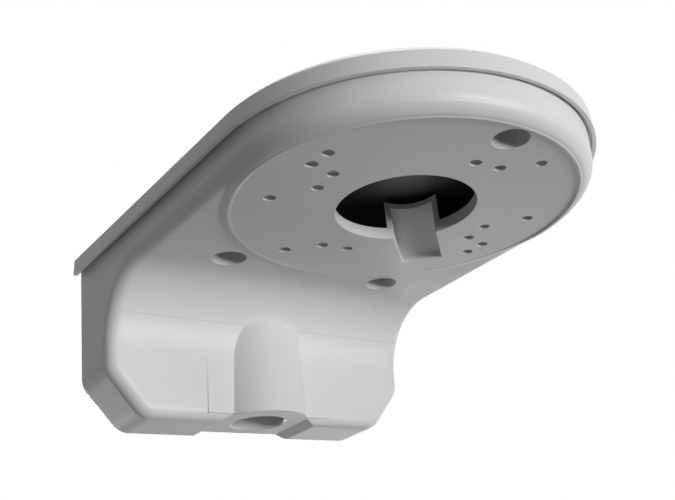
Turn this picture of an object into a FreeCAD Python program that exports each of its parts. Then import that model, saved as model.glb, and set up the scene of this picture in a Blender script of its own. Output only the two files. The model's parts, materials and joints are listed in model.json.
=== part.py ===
# Camera junction box: a cast arm with a round camera face, on a block that stands against the wall.
#
# Millimetres. +Z up. The origin is on the wall plane, in the middle of the back plate, level with the
# camera face. The arm reaches out along -Y, and +X is to the right for someone who faces the wall.
import FreeCAD, Part
import math
import os
import re
import Sketcher
from FreeCAD import Placement, Rotation, Vector

# Driving dimensions: name, value, what it measures.
SIZES = (
    ("stand_off", 123.0, "wall plane to the middle of the cable opening"),
    ("arm_radius", 67.0, "half the width of the body at its rim, and the radius of its round end"),
    ("rim_height", 13.0, "rim above the camera face"),
    ("side_draft", 1.3, "lean of the cast side walls, degrees"),
    ("wall", 3.5, "side walls"),
    ("plate", 2.9, "front and floor of the block"),
    ("arm_floor", 3.7, "floor of the arm"),
    ("back_wall", 4.0, "back plate"),
    ("face_step", 0.7, "camera face below the underside of the arm"),
    ("block_depth", 27.0, "wall plane to the front of the block"),
    ("block_drop", 50.3, "camera face down to the underside of the block"),
    ("sweep_radius", 26.0, "hollow sweep from the arm into the block"),
    ("front_draft", 1.75, "lean of the front of the block, degrees"),
    ("corner_inset", 15.0, "side of the body to the foot of the block's corner cuts"),
    ("corner_slope", 50.5, "slope of the corner cuts, degrees from level"),
    ("corner_round", 9.0, "rounding where the corner cuts meet the side and the underside"),
    ("edge_round", 4.5, "rounding along the front and lower edges"),
    ("back_round", 2.0, "rounding along the edges at the wall"),
    ("recess_depth", 2.3, "channel under the block"),
    ("recess_half", 17.0, "half the width of the channel at its roof"),
    ("recess_flare", 4.5, "how much each side of the channel opens towards its mouth"),
    ("panel_half", 27.2, "half the width of the raised panel on the front of the block"),
    ("panel_lift", 0.3, "how far that panel stands out at its foot"),
    ("panel_top", 26.0, "camera face down to the top of the panel, where it is flush"),
    ("panel_foot", 47.7, "camera face down to the foot of the panel"),
    ("boss_radius", 19.6, "conduit boss at its lower rim"),
    ("boss_set_back", 15.2, "wall plane to the axis of the conduit"),
    ("boss_draft", 1.4, "taper of the conduit boss, degrees"),
    ("boss_drop", 8.0, "camera face down to the top of the boss, in the sweep"),
    ("boss_crown", 6.0, "rounding round the top of the boss"),
    ("conduit_radius", 10.4775, "conduit thread, over its crests in the wall"),
    ("conduit_length", 15.0, "length of the conduit thread"),
    ("conduit_lead", 0.75, "chamfer at the mouth of the thread"),
    ("relief_half", 15.8, "room above the conduit thread for its cables, sideways and forwards"),
    ("relief_corner", 14.0, "rounding of that room's front corners"),
    ("face_margin", 3.1, "end of the arm to the foot of the camera face"),
    ("face_bevel", 2.5, "width of the slope round the camera face"),
    ("opening_radius", 25.0, "cable opening"),
    ("groove_turn", 45.0, "direction of the cable groove, degrees from +X"),
    ("groove_half", 7.9, "half the width of the groove"),
    ("groove_reach", 48.5, "middle of the opening to the end of the groove"),
    ("groove_shallow", 2.8, "depth of the groove at its end"),
    ("groove_tall", 12.3, "height of the groove where it leaves the opening"),
    ("groove_knee", 35.5, "middle of the opening to the bend of the groove's roof"),
    ("groove_knee_height", 4.56, "height of that bend above the camera face"),
    ("groove_bend", 40.0, "radius of that bend"),
    ("groove_corner", 1.75, "rounding of the corners at the end of the groove"),
    ("hood_wall", 2.05, "walls of the hood over the groove"),
    ("hood_set_back", 0.4, "end of the hood behind the wall of the opening"),
    ("post_radius", 8.75, "posts of the cover screws"),
    ("post_clearance", 0.85, "front post to the inside of the end wall"),
    ("rear_post_reach", 62.6, "middle of the opening back to the rear posts"),
    ("rear_post_spread", 34.9, "middle of the body sideways to the rear posts"),
    ("sink_radius", 6.25, "counterbores of the cover screws"),
    ("sink_depth", 12.2, "depth of the counterbores"),
    ("web", 2.2, "web of a post under the screw's head"),
    ("screw_hole_radius", 2.25, "hole through the web"),
    ("screw_radius", 2.0, "shank of every screw"),
    ("head_radius", 3.8, "head of every screw"),
    ("head_height", 2.2, "height of the head"),
    ("head_top_radius", 2.3, "flat top of the head, round the socket"),
    ("head_rim", 0.8, "upright rim of the head"),
    ("screw_length", 8.4, "cover screw below its head"),
    ("hex_across", 2.5, "hexagon socket across its flats"),
    ("hex_depth", 1.3, "depth of that socket"),
    ("washer_radius", 4.5, "flat washers"),
    ("washer_thickness", 0.8, "thickness of the flat washers"),
    ("screw_seal_radius", 5.4, "sealing washers under the flat washers"),
    ("screw_seal_thickness", 0.8, "thickness of the sealing washers"),
    ("thread_gap", 0.1, "play round a screw in its thread or washer"),
    ("thread_spare", 0.4, "blind thread beyond the end of its screw"),
    ("lip_overlap", 1.0, "cover's lip below the rim"),
    ("lip_gap", 1.1, "play between the lip and the side wall"),
    ("lip_wall", 1.4, "thickness of the lip"),
    ("seal_thickness", 0.6, "seal between the rim and the cover, pressed down"),
    ("seal_width", 2.4, "width of that seal"),
    ("cover_rise", 7.7, "top of the cover above the rim"),
    ("cover_roof", 2.5, "thickness of the top of the cover"),
    ("cover_draft", 2.7, "lean of the cover's outer wall, degrees"),
    ("cover_chamfer", 2.4, "chamfer round the top of the cover"),
    ("cover_back_gap", 0.5, "wall plane to the back edge of the cover"),
    ("cover_boss_radius", 6.0, "threaded bosses under the cover"),
    ("pitch_a_radius", 36.9, "camera screw circle A, from the middle of the opening"),
    ("pitch_a_turn", 0.0, "first hole of circle A, degrees from +X"),
    ("pitch_b_radius", 39.15, "camera screw circle B"),
    ("pitch_b_turn", 15.0, "first hole of circle B, degrees from +X"),
    ("pitch_c_radius", 51.05, "camera screw circle C"),
    ("pitch_c_turn", 24.1, "first hole of circle C, degrees from +X"),
    ("pitch_d_half_x", 47.25, "camera screw rectangle D, half its length"),
    ("pitch_d_half_y", 12.7, "camera screw rectangle D, half its width"),
    ("camera_hole_radius", 2.05, "blind camera screw holes"),
    ("camera_hole_depth", 6.0, "depth of those holes"),
    ("camera_boss_radius", 3.5, "small bosses in the tray round those holes"),
    ("camera_boss_roof", 1.6, "metal left above those holes"),
    ("wall_hole_radius", 2.75, "upper screw holes of the back plate"),
    ("wall_hole_spread", 45.0, "middle of the body to an upper hole or a keyhole"),
    ("wall_hole_height", 8.2, "upper holes above the camera face"),
    ("keyhole_radius", 5.0, "round part of a keyhole"),
    ("keyhole_slot_radius", 2.75, "half the width of its slot"),
    ("keyhole_end_round", 2.6, "rounding of the slot's end corners"),
    ("keyhole_rise", 9.0, "slot's end above the middle of the round part"),
    ("keyhole_drop", 34.0, "camera face down to the middle of the round part"),
    ("entry_radius", 12.5, "cable entry in the back plate"),
    ("entry_drop", 16.5, "camera face down to the middle of that entry"),
    ("earth_inset", 21.0, "side of the body to the earth screw"),
    ("earth_reach", 39.0, "middle of the opening back to the earth screw"),
    ("earth_boss_radius", 4.6, "earth boss on the floor of the tray"),
    ("earth_boss_height", 4.0, "height of the earth boss"),
    ("earth_screw_length", 4.6, "earth screw below its head"),
    ("overcut", 5.0, "how far a cut runs past what it cuts"),
)
NAMES = {name for name, _, _ in SIZES}

# Heights and places worked out from them.
MIDDLE = "-stand_off"
FRONT_POST = "(-stand_off - arm_radius + wall + post_clearance + post_radius)"
CORNER_FOOT = "(arm_radius - corner_inset)"
FACE_RADIUS = "(arm_radius - face_margin)"
UNDERSIDE = "face_step"
TRAY_FLOOR = "(face_step + arm_floor)"
SEAT = "(rim_height + seal_thickness)"
COVER_FOOT = "(rim_height - lip_overlap)"
COVER_TOP = "(rim_height + cover_rise)"
COVER_CEILING = "(rim_height + cover_rise - cover_roof)"
POST_TOP = "(sink_depth + web)"
SEAL_FOOT = "(sink_depth - screw_seal_thickness)"
WASHER_FOOT = "(sink_depth - screw_seal_thickness - washer_thickness)"
CONDUIT_FACE = "(-block_drop + recess_depth)"
CONDUIT_END = "(-block_drop + recess_depth + conduit_length)"
BLOCK_FLOOR = "(-block_drop + recess_depth + plate)"
EARTH_SEAT = "(face_step + arm_floor + earth_boss_height)"
POSTS = {
    "front": ("0", FRONT_POST),
    "rear_left": ("(-rear_post_spread)", "(-stand_off + rear_post_reach)"),
    "rear_right": ("rear_post_spread", "(-stand_off + rear_post_reach)"),
}
EARTH = ("(earth_inset - arm_radius)", "(-stand_off + earth_reach)")

# Where an edge is sampled, from its start to its end, and how close counts as touching.
SAMPLES = (0.02, 0.25, 0.5, 0.75, 0.98)
TOUCH = 0.01
NEARLY = 0.8

doc = FreeCAD.newDocument("camera_junction_box")
sheet = doc.addObject("Spreadsheet::Sheet", "sizes")
for row, (name, number, note) in enumerate(SIZES, start=1):
    sheet.set(f"A{row}", name)
    sheet.set(f"B{row}", str(number))
    sheet.setAlias(f"B{row}", name)
    sheet.set(f"C{row}", note)
doc.recompute()


def bound(text):
    """The expression with every size's name led by the name of its sheet."""
    return re.sub(r"[a-z_]+", lambda word: "sizes." + word[0] if word[0] in NAMES else word[0], text)


def value(text):
    """The expression's number, in millimetres or degrees."""
    result = sheet.evalExpression(text)
    return float(getattr(result, "Value", result))


def bind(thing, prop, text):
    thing.setExpression(prop, bound(text))


def new_body(name, x="0", y="0", z="0"):
    """A piece of its own, whose frame stands at x, y, z."""
    body = doc.addObject("PartDesign::Body", name)
    body.Label = name
    for axis, text in (("x", x), ("y", y), ("z", z)):
        bind(body, "Placement.Base." + axis, text)
    return body


def new_sketch(body, name, role, lift="0"):
    """A sketch on one of the body's own planes, lifted along the plane's normal."""
    plane = next(item for item in body.Origin.OriginFeatures if item.Role == role)
    sketch = body.newObject("Sketcher::SketchObject", name)
    sketch.AttachmentSupport = [(plane, "")]
    sketch.MapMode = "FlatFace"
    bind(sketch, "AttachmentOffset.Base.z", lift)
    return sketch


def fix_point(sketch, geometry, position, across, up):
    """Ties a point to its two distances from the sketch's origin."""
    for kind, text in (("DistanceX", across), ("DistanceY", up)):
        index = sketch.addConstraint(Sketcher.Constraint(kind, -1, 1, geometry, position, value(text)))
        bind(sketch, f"Constraints[{index}]", text)


def draw_circle(sketch, across, up, radius):
    centre = Vector(value(across), value(up), 0)
    circle = sketch.addGeometry(Part.Circle(centre, Vector(0, 0, 1), value(radius)))
    fix_point(sketch, circle, 3, across, up)
    index = sketch.addConstraint(Sketcher.Constraint("Radius", circle, value(radius)))
    bind(sketch, f"Constraints[{index}]", radius)


def draw_outline(sketch, corners):
    """Straight lines from corner to corner. A corner with a third entry is rounded by that radius."""
    points = [Vector(value(corner[0]), value(corner[1]), 0) for corner in corners]
    count = len(corners)
    arrive, leave, arcs = list(points), list(points), {}
    for i, corner in enumerate(corners):
        if len(corner) < 3:
            continue
        radius = value(corner[2])
        back = (points[i - 1] - points[i]).normalize()
        ahead = (points[(i + 1) % count] - points[i]).normalize()
        half = back.getAngle(ahead) / 2
        arrive[i] = points[i] + back * (radius / math.tan(half))
        leave[i] = points[i] + ahead * (radius / math.tan(half))
        centre = points[i] + (back + ahead).normalize() * (radius / math.sin(half))
        arcs[i] = (centre, radius, back.cross(ahead).z < 0)
    lines = [sketch.addGeometry(Part.LineSegment(leave[i], arrive[(i + 1) % count])) for i in range(count)]
    for i, corner in enumerate(corners):
        before, after = lines[i - 1], lines[i]
        if i not in arcs:
            sketch.addConstraint(Sketcher.Constraint("Coincident", before, 2, after, 1))
            fix_point(sketch, after, 1, corner[0], corner[1])
            continue
        centre, radius, left_turn = arcs[i]
        ends = [arrive[i] - centre, leave[i] - centre]
        first, last = [math.atan2(end.y, end.x) for end in (ends if left_turn else reversed(ends))]
        circle = Part.Circle(centre, Vector(0, 0, 1), radius)
        arc = sketch.addGeometry(Part.ArcOfCircle(circle, first, last))
        start, end = (1, 2) if left_turn else (2, 1)
        sketch.addConstraint(Sketcher.Constraint("Tangent", before, 2, arc, start))
        sketch.addConstraint(Sketcher.Constraint("Tangent", arc, end, after, 1))
        index = sketch.addConstraint(Sketcher.Constraint("Radius", arc, radius))
        bind(sketch, f"Constraints[{index}]", corner[2])
        point = sketch.addGeometry(Part.Point(points[i]), True)
        fix_point(sketch, point, 1, corner[0], corner[1])
        sketch.addConstraint(Sketcher.Constraint("PointOnObject", point, 1, before))
        sketch.addConstraint(Sketcher.Constraint("PointOnObject", point, 1, after))


def extrude(body, kind, sketch, length, back=False, both=False, taper=None):
    """A Pad or a Pocket of the sketch, along its normal, against it, or half each way."""
    feature = body.newObject("PartDesign::" + kind, sketch.Name + "_" + kind.lower())
    feature.Profile = sketch
    feature.Reversed = back
    if both:
        feature.SideType = "Symmetric"
    bind(feature, "Length", length)
    if taper:
        bind(feature, "TaperAngle", taper)
    sketch.Visibility = False
    doc.recompute()
    return feature


def revolve(body, sketch, degrees):
    """A Revolution of the sketch about its own upright axis, towards the front."""
    feature = body.newObject("PartDesign::Revolution", sketch.Name + "_turned")
    feature.Profile = sketch
    feature.ReferenceAxis = (sketch, ["V_Axis"])
    feature.Angle = degrees
    feature.Reversed = True
    doc.recompute()
    return feature


def round_ended(body, name, section, back):
    """One half section, led round the front of the opening and then straight back on both sides.
    A section that starts on the middle line makes a solid form, any other a ring open at the back."""
    turned = new_sketch(body, name + "_round", "XZ_Plane", "stand_off")
    draw_outline(turned, section)
    revolve(body, turned, 180)
    straight = new_sketch(body, name + "_straight", "XZ_Plane", "stand_off")
    mirrored = [(f"-({corner[0]})", *corner[1:]) for corner in section]
    if section[0][0] == "0":
        draw_outline(straight, list(section[1:-1]) + mirrored[-2:0:-1])
    else:
        draw_outline(straight, section)
        draw_outline(straight, mirrored)
    return extrude(body, "Pad", straight, back, back=True)


def combine(body, kind, tool):
    feature = body.newObject("PartDesign::Boolean", body.Name + "_" + kind.lower() + "_" + tool.Name)
    feature.Type = kind
    feature.setObjects([tool])
    doc.recompute()
    return feature


def edges_where(feature, test):
    """Names of the feature's edges whose sample points all pass the test."""
    names = []
    for number, edge in enumerate(feature.Shape.Edges, start=1):
        first, last = edge.ParameterRange
        samples = [edge.valueAt(first + (last - first) * share) for share in SAMPLES]
        if test(edge, samples):
            names.append(f"Edge{number}")
    return names


def dress(body, kind, base, names, prop, text):
    """A Fillet or a Chamfer on the named edges of the base feature."""
    feature = body.newObject("PartDesign::" + kind, base.Name + "_" + kind.lower())
    feature.Base = (base, names)
    bind(feature, prop, text)
    doc.recompute()
    return feature


def cast_form(name, side_corners, half_width, back, foot, top):
    """What the side view and the plan have in common: the side view drawn across the whole width,
    cut to the drafted plan, with the two lower corners cut off."""
    body = new_body(name)
    side = new_sketch(body, name + "_side", "YZ_Plane")
    draw_outline(side, side_corners)
    extrude(body, "Pad", side, "2 * arm_radius + 2 * overcut", both=True)
    plan_body = new_body(name + "_plan")
    depth = f"({top} + block_drop + overcut)"
    round_ended(plan_body, name + "_plan", (
        ("0", top),
        (half_width, top),
        (f"({half_width} - {depth} * tan(side_draft))", "(-block_drop - overcut)"),
        ("0", "(-block_drop - overcut)"),
    ), f"stand_off + {back}")
    combine(body, "Common", plan_body)
    corners = new_sketch(body, name + "_corners", "XZ_Plane")
    foot_across, foot_up = foot
    reach = "(corner_inset + 3 * overcut)"
    for side_sign in ("", "-"):
        draw_outline(corners, (
            (f"{side_sign}({foot_across} - overcut / tan(corner_slope))", f"{foot_up} - overcut"),
            (f"{side_sign}({foot_across} + {reach})", f"{foot_up} - overcut"),
            (f"{side_sign}({foot_across} + {reach})", f"{foot_up} + {reach} * tan(corner_slope)"),
        ))
    extrude(body, "Pocket", corners, "4 * stand_off", both=True)
    return body


def corner_cut_edges(feature):
    """Edges that run back to front where a corner cut meets the side or the underside."""
    def test(edge, samples):
        runs_back = abs(samples[0].y - samples[-1].y) > NEARLY * samples[0].distanceToPoint(samples[-1])
        outside = min(abs(point.x) for point in samples) > value(CORNER_FOOT) / 2
        return runs_back and outside and samples[2].z < value("-block_drop / 2")
    return edges_where(feature, test)


def front_loop_edges(feature):
    """The loop along the underside of the arm, down the sweep and round the front of the block."""
    sweep_y = value("-block_depth - sweep_radius")
    sweep_z = value("face_step - sweep_radius")
    floor = value("-block_drop")

    def on_skin(point):
        if point.y < sweep_y:
            return abs(point.z - value(UNDERSIDE)) < TOUCH
        if point.z > sweep_z:
            return abs(math.hypot(point.y - sweep_y, point.z - sweep_z) - value("sweep_radius")) < TOUCH
        lean = (value(UNDERSIDE) - point.z) * math.tan(math.radians(value("front_draft")))
        return abs(point.y + value("block_depth") - lean) < TOUCH

    def test(edge, samples):
        straight_across = samples[0].x * samples[-1].x < 0 and edge.Curve.TypeId == "Part::GeomLine"
        seam = straight_across and samples[2].z > floor + TOUCH
        return not seam and all(on_skin(point) for point in samples)
    return edges_where(feature, test)


def wall_edges(feature):
    """The edges of the back plate, apart from its top."""
    def test(edge, samples):
        at_wall = all(abs(point.y) < TOUCH for point in samples)
        return at_wall and min(point.z for point in samples) < value("rim_height") / 2
    return edges_where(feature, test)


def housing_form():
    """The outside of the casting, before its face, boss and holes."""
    lean = "(block_drop + face_step) * tan(front_draft)"
    body = cast_form(
        "housing",
        (
            ("0", "rim_height"),
            ("-stand_off - arm_radius - overcut", "rim_height"),
            ("-stand_off - arm_radius - overcut", UNDERSIDE),
            ("-block_depth", UNDERSIDE, "sweep_radius"),
            (f"-block_depth + {lean}", "-block_drop"),
            ("0", "-block_drop"),
        ),
        "arm_radius", "overcut", (CORNER_FOOT, "-block_drop"), "rim_height",
    )
    form = dress(body, "Fillet", body.Tip, corner_cut_edges(body.Tip), "Radius", "corner_round")
    form = dress(body, "Fillet", form, front_loop_edges(form), "Radius", "edge_round")
    dress(body, "Fillet", form, wall_edges(form), "Radius", "back_round")
    return body


def housing_hollow():
    """The room inside: the tray of the arm, the inside of the sweep and the block."""
    lean = "(block_drop + face_step) * tan(front_draft)"
    body = cast_form(
        "hollow",
        (
            ("-back_wall", "rim_height + overcut"),
            ("-stand_off - arm_radius - overcut", "rim_height + overcut"),
            ("-stand_off - arm_radius - overcut", TRAY_FLOOR),
            ("-block_depth + plate", TRAY_FLOOR, "(sweep_radius + plate)"),
            (f"-block_depth + plate + {lean}", BLOCK_FLOOR),
            ("-back_wall", BLOCK_FLOOR),
        ),
        "(arm_radius - wall + overcut * tan(side_draft))", "overcut",
        (f"({CORNER_FOOT} - wall / sin(corner_slope))", "-block_drop"), "(rim_height + overcut)",
    )
    dress(body, "Fillet", body.Tip, corner_cut_edges(body.Tip), "Radius", "(corner_round - wall)")
    return body


def block_channel(body):
    """A shallow channel under the block, from front to back."""
    sketch = new_sketch(body, "channel", "XZ_Plane")
    foot = "(recess_half + recess_flare * (recess_depth + overcut) / recess_depth)"
    draw_outline(sketch, (
        ("-recess_half", CONDUIT_FACE),
        ("recess_half", CONDUIT_FACE),
        (foot, "-block_drop - overcut"),
        ("-" + foot, "-block_drop - overcut"),
    ))
    return extrude(body, "Pocket", sketch, "4 * stand_off", both=True)


def block_panel(body):
    """A flat panel on the front of the block, flush at its top and standing out at its foot."""
    sketch = new_sketch(body, "panel", "YZ_Plane")
    draw_outline(sketch, (
        ("(-block_depth + (panel_top + face_step) * tan(front_draft))", "-panel_top"),
        ("(-block_depth - panel_lift + (panel_foot + face_step) * tan(front_draft))", "-panel_foot"),
        ("-block_depth + plate / 2", "-panel_foot"),
        ("-block_depth + plate / 2", "-panel_top"),
    ))
    return extrude(body, "Pad", sketch, "2 * panel_half", both=True)


def conduit_boss(body):
    """The round boss on the front of the block. It tapers upwards and its rounded top dies in the sweep."""
    tool = new_body("boss")
    sketch = new_sketch(tool, "boss_section", "XZ_Plane", "boss_set_back")
    top = "(boss_radius - (block_drop - recess_depth - boss_drop) * tan(boss_draft))"
    draw_outline(sketch, (
        ("0", "-boss_drop"),
        (top, "-boss_drop", "boss_crown"),
        ("boss_radius", CONDUIT_FACE),
        ("0", CONDUIT_FACE),
    ))
    revolve(tool, sketch, 180)
    combine(body, "Fuse", tool)


def camera_face(body):
    """The round face under the arm, with a shallow slope round it."""
    sketch = new_sketch(body, "face_section", "XZ_Plane", "stand_off")
    draw_outline(sketch, (
        ("0", TRAY_FLOOR),
        (FACE_RADIUS, TRAY_FLOOR),
        (FACE_RADIUS, UNDERSIDE),
        (f"({FACE_RADIUS} - face_bevel)", "0"),
        ("0", "0"),
    ))
    return revolve(body, sketch, 360)


def screw_posts(body):
    """Posts for the cover screws. A foot ties the front one to the end wall."""
    sketch = new_sketch(body, "posts", "XY_Plane", UNDERSIDE)
    for across, along in POSTS.values():
        draw_circle(sketch, across, along, "post_radius")
    extrude(body, "Pad", sketch, f"{POST_TOP} - {UNDERSIDE}")
    foot = new_sketch(body, "post_foot", "XY_Plane", TRAY_FLOOR)
    end = "(-stand_off - arm_radius + wall / 2)"
    across = "(post_radius - wall)"
    draw_outline(foot, (
        ("-" + across, end), (across, end),
        (across, FRONT_POST), ("-" + across, FRONT_POST),
    ))
    extrude(body, "Pad", foot, f"rim_height - lip_overlap - {TRAY_FLOOR}")


def camera_hole_places():
    """Across and along of every blind camera hole, in the order of its circle."""
    places = []
    for ring in "abc":
        for quarter in range(4):
            turn = f"(pitch_{ring}_turn + {90 * quarter})"
            reach = f"pitch_{ring}_radius"
            places.append((f"({reach} * cos({turn}))", f"(-stand_off + {reach} * sin({turn}))"))
    for across in ("-", ""):
        for along in ("-", "+"):
            places.append((f"({across}pitch_d_half_x)", f"(-stand_off {along} pitch_d_half_y)"))
    return places


def camera_bosses(body):
    sketch = new_sketch(body, "camera_bosses", "XY_Plane", UNDERSIDE)
    for across, along in camera_hole_places():
        draw_circle(sketch, across, along, "camera_boss_radius")
    extrude(body, "Pad", sketch, f"camera_hole_depth + camera_boss_roof - {UNDERSIDE}")


def groove_profile(grow):
    """Side view of the groove along its own direction. The hood's is the same, grown upwards."""
    slope = "((groove_tall - groove_knee_height) / (groove_knee - opening_radius))"
    start = "(opening_radius / 2)"
    end_rise = "(groove_knee_height - groove_shallow) / (groove_reach - groove_knee)"
    return (
        (start, f"(groove_knee_height + {grow} + {slope} * (groove_knee - {start}))"),
        ("groove_knee", f"(groove_knee_height + {grow})", f"(groove_bend - {grow})"),
        ("groove_reach", f"(groove_knee_height + {grow} - {end_rise} * (groove_reach - groove_knee))"),
    )


def groove_sketch(body, name):
    """A sketch on the upright plane through the opening's axis along the groove."""
    sketch = new_sketch(body, name, "XZ_Plane", "stand_off")
    turned = Rotation(Vector(0, 1, 0), value("groove_turn"))
    sketch.AttachmentOffset = Placement(sketch.AttachmentOffset.Base, turned)
    bind(sketch, "AttachmentOffset.Base.z", "stand_off")
    bind(sketch, "AttachmentOffset.Rotation.Angle", "groove_turn")
    return sketch


def groove_hood(body):
    """The hood that covers the groove inside the tray."""
    sketch = groove_sketch(body, "hood")
    start, knee, end = groove_profile("hood_wall")
    draw_outline(sketch, (start, knee, end, (end[0], UNDERSIDE), (start[0], UNDERSIDE)))
    return extrude(body, "Pad", sketch, "2 * groove_half + 2 * hood_wall", both=True)


def groove_cut(body):
    sketch = groove_sketch(body, "groove")
    start, knee, end = groove_profile("0")
    draw_outline(sketch, (start, knee, end, (end[0], "-overcut"), (start[0], "-overcut")))
    return extrude(body, "Pocket", sketch, "2 * groove_half", both=True)


def cable_opening(body):
    """The round opening. Above the floor it is a little wider, so that the hood ends behind its wall."""
    for name, foot, radius in (
        ("hood_end", TRAY_FLOOR, "(opening_radius + hood_set_back)"),
        ("opening", "-overcut", "opening_radius"),
    ):
        sketch = new_sketch(body, name, "XY_Plane", foot)
        draw_circle(sketch, "0", MIDDLE, radius)
        extrude(body, "Pocket", sketch, "rim_height + 4 * overcut", back=True)


def blind_holes(body):
    """Counterbores and web holes of the cover screws, and the camera holes, from below."""
    for name, radius, depth in (
        ("counterbores", "sink_radius", "sink_depth"),
        ("web_holes", "screw_hole_radius", f"{POST_TOP} + overcut"),
    ):
        sketch = new_sketch(body, name, "XY_Plane")
        for across, along in POSTS.values():
            draw_circle(sketch, across, along, radius)
        extrude(body, "Pocket", sketch, depth, back=True)
    sketch = new_sketch(body, "camera_holes", "XY_Plane")
    for across, along in camera_hole_places():
        draw_circle(sketch, across, along, "camera_hole_radius")
    extrude(body, "Pocket", sketch, "camera_hole_depth", back=True)


def conduit_bore(body):
    """Collar inside the block, threaded bore with its lead, and room for the cables above."""
    collar = new_sketch(body, "collar", "XY_Plane", CONDUIT_FACE)
    side = "(conduit_radius + wall)"
    rear, front = "(-back_wall / 2)", "(-block_depth + plate / 2)"
    draw_outline(collar, (("-" + side, rear), (side, rear), (side, front), ("-" + side, front)))
    extrude(body, "Pad", collar, "conduit_length")
    relief = new_sketch(body, "relief", "XY_Plane", CONDUIT_END)
    front = "(-boss_set_back - relief_half)"
    draw_outline(relief, (
        ("relief_half", "-boss_set_back"),
        ("-relief_half", "-boss_set_back"),
        ("-relief_half", front, "relief_corner"),
        ("relief_half", front, "relief_corner"),
    ))
    extrude(body, "Pocket", relief, f"{TRAY_FLOOR} - {CONDUIT_END}", back=True)
    bore = new_sketch(body, "bore", "XY_Plane", CONDUIT_FACE)
    draw_circle(bore, "0", "-boss_set_back", "conduit_radius")
    bored = extrude(body, "Pocket", bore, "conduit_length + overcut", back=True)

    def at_mouth(point):
        reach = math.hypot(point.x, point.y + value("boss_set_back"))
        return abs(point.z - value(CONDUIT_FACE)) < TOUCH and abs(reach - value("conduit_radius")) < TOUCH

    mouth = edges_where(bored, lambda edge, samples: all(at_mouth(point) for point in samples))
    dress(body, "Chamfer", bored, mouth, "Size", "conduit_lead")


def back_plate_holes(body):
    """Two screw holes, two keyholes and the cable entry, through the back plate."""
    sketch = new_sketch(body, "wall_holes", "XZ_Plane")
    draw_circle(sketch, "0", "-entry_drop", "entry_radius")
    for side in ("", "-"):
        draw_circle(sketch, side + "wall_hole_spread", "wall_hole_height", "wall_hole_radius")
        draw_circle(sketch, side + "wall_hole_spread", "-keyhole_drop", "keyhole_radius")
    extrude(body, "Pocket", sketch, "2 * back_wall", both=True)
    slots = new_sketch(body, "keyhole_slots", "XZ_Plane")
    end = "(-keyhole_drop + keyhole_rise + keyhole_slot_radius)"
    for side in ("", "-"):
        left = f"({side}wall_hole_spread - keyhole_slot_radius)"
        right = f"({side}wall_hole_spread + keyhole_slot_radius)"
        draw_outline(slots, (
            (left, "-keyhole_drop"),
            (right, "-keyhole_drop"),
            (right, end, "keyhole_end_round"),
            (left, end, "keyhole_end_round"),
        ))
    extrude(body, "Pocket", slots, "2 * back_wall", both=True)


def earth_boss(body):
    boss = new_sketch(body, "earth_boss", "XY_Plane", UNDERSIDE)
    draw_circle(boss, *EARTH, "earth_boss_radius")
    extrude(body, "Pad", boss, f"{EARTH_SEAT} - {UNDERSIDE}")
    hole = new_sketch(body, "earth_hole", "XY_Plane", EARTH_SEAT)
    draw_circle(hole, *EARTH, "screw_radius + thread_gap")
    extrude(body, "Pocket", hole, "earth_screw_length - washer_thickness + thread_spare")


def housing():
    """The casting: arm with its tray, block, conduit boss, camera face and every hole."""
    body = housing_form()
    conduit_boss(body)
    block_panel(body)
    hollow = housing_hollow()
    combine(body, "Cut", hollow)
    camera_face(body)
    screw_posts(body)
    camera_bosses(body)
    groove_hood(body)
    earth_boss(body)
    block_channel(body)
    conduit_bore(body)
    groove_cut(body)
    cable_opening(body)
    blind_holes(body)
    back_plate_holes(body)
    return body


def top_cover():
    """The cap over the tray: a lip round the rim, a seat for the seal, and three threaded bosses."""
    body = new_body("top_cover")
    inside = "(arm_radius - wall)"
    lip = "(arm_radius + lip_gap + lip_wall)"
    shoulder = f"({lip} - (cover_rise + lip_overlap - cover_chamfer) * tan(cover_draft))"
    round_ended(body, "cap", (
        ("0", COVER_CEILING),
        (inside, COVER_CEILING),
        (inside, SEAT),
        ("(arm_radius + lip_gap)", SEAT),
        ("(arm_radius + lip_gap)", COVER_FOOT),
        (lip, COVER_FOOT),
        (shoulder, f"({COVER_TOP} - cover_chamfer)"),
        (f"({shoulder} - cover_chamfer)", COVER_TOP),
        ("0", COVER_TOP),
    ), "stand_off - cover_back_gap")
    back = new_sketch(body, "cap_back", "XY_Plane", SEAT)
    rear, front = "-cover_back_gap", "(-cover_back_gap - wall)"
    draw_outline(back, (
        ("-" + inside, rear), (f"-{inside}", front), (inside, front), (inside, rear),
    ))
    extrude(body, "Pad", back, f"{COVER_CEILING} - {SEAT} + cover_roof / 2")
    bosses = new_sketch(body, "cap_bosses", "XY_Plane", POST_TOP)
    holes = new_sketch(body, "cap_threads", "XY_Plane", POST_TOP)
    for across, along in POSTS.values():
        draw_circle(bosses, across, along, "cover_boss_radius")
        draw_circle(holes, across, along, "(screw_radius + thread_gap)")
    extrude(body, "Pad", bosses, f"{COVER_CEILING} + cover_roof / 2 - {POST_TOP}")
    extrude(body, "Pocket", holes, f"{WASHER_FOOT} + screw_length + thread_spare - {POST_TOP}", back=True)
    return body


def cover_seal():
    """A flat rubber ring on the rim, closed across the back plate."""
    body = new_body("cover_seal")
    outer = "(arm_radius - (wall - seal_width) / 2)"
    inner = f"({outer} - seal_width)"
    rear = "((back_wall - seal_width) / 2)"
    round_ended(body, "seal", (
        (inner, "rim_height"), (outer, "rim_height"), (outer, SEAT), (inner, SEAT),
    ), f"stand_off - {rear}")
    strip = new_sketch(body, "seal_back", "XY_Plane", "rim_height")
    draw_outline(strip, (
        ("-" + inner, "-" + rear), ("-" + inner, f"-{rear} - seal_width"),
        (inner, f"-{rear} - seal_width"), (inner, "-" + rear),
    ))
    extrude(body, "Pad", strip, "seal_thickness")
    return body


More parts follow.
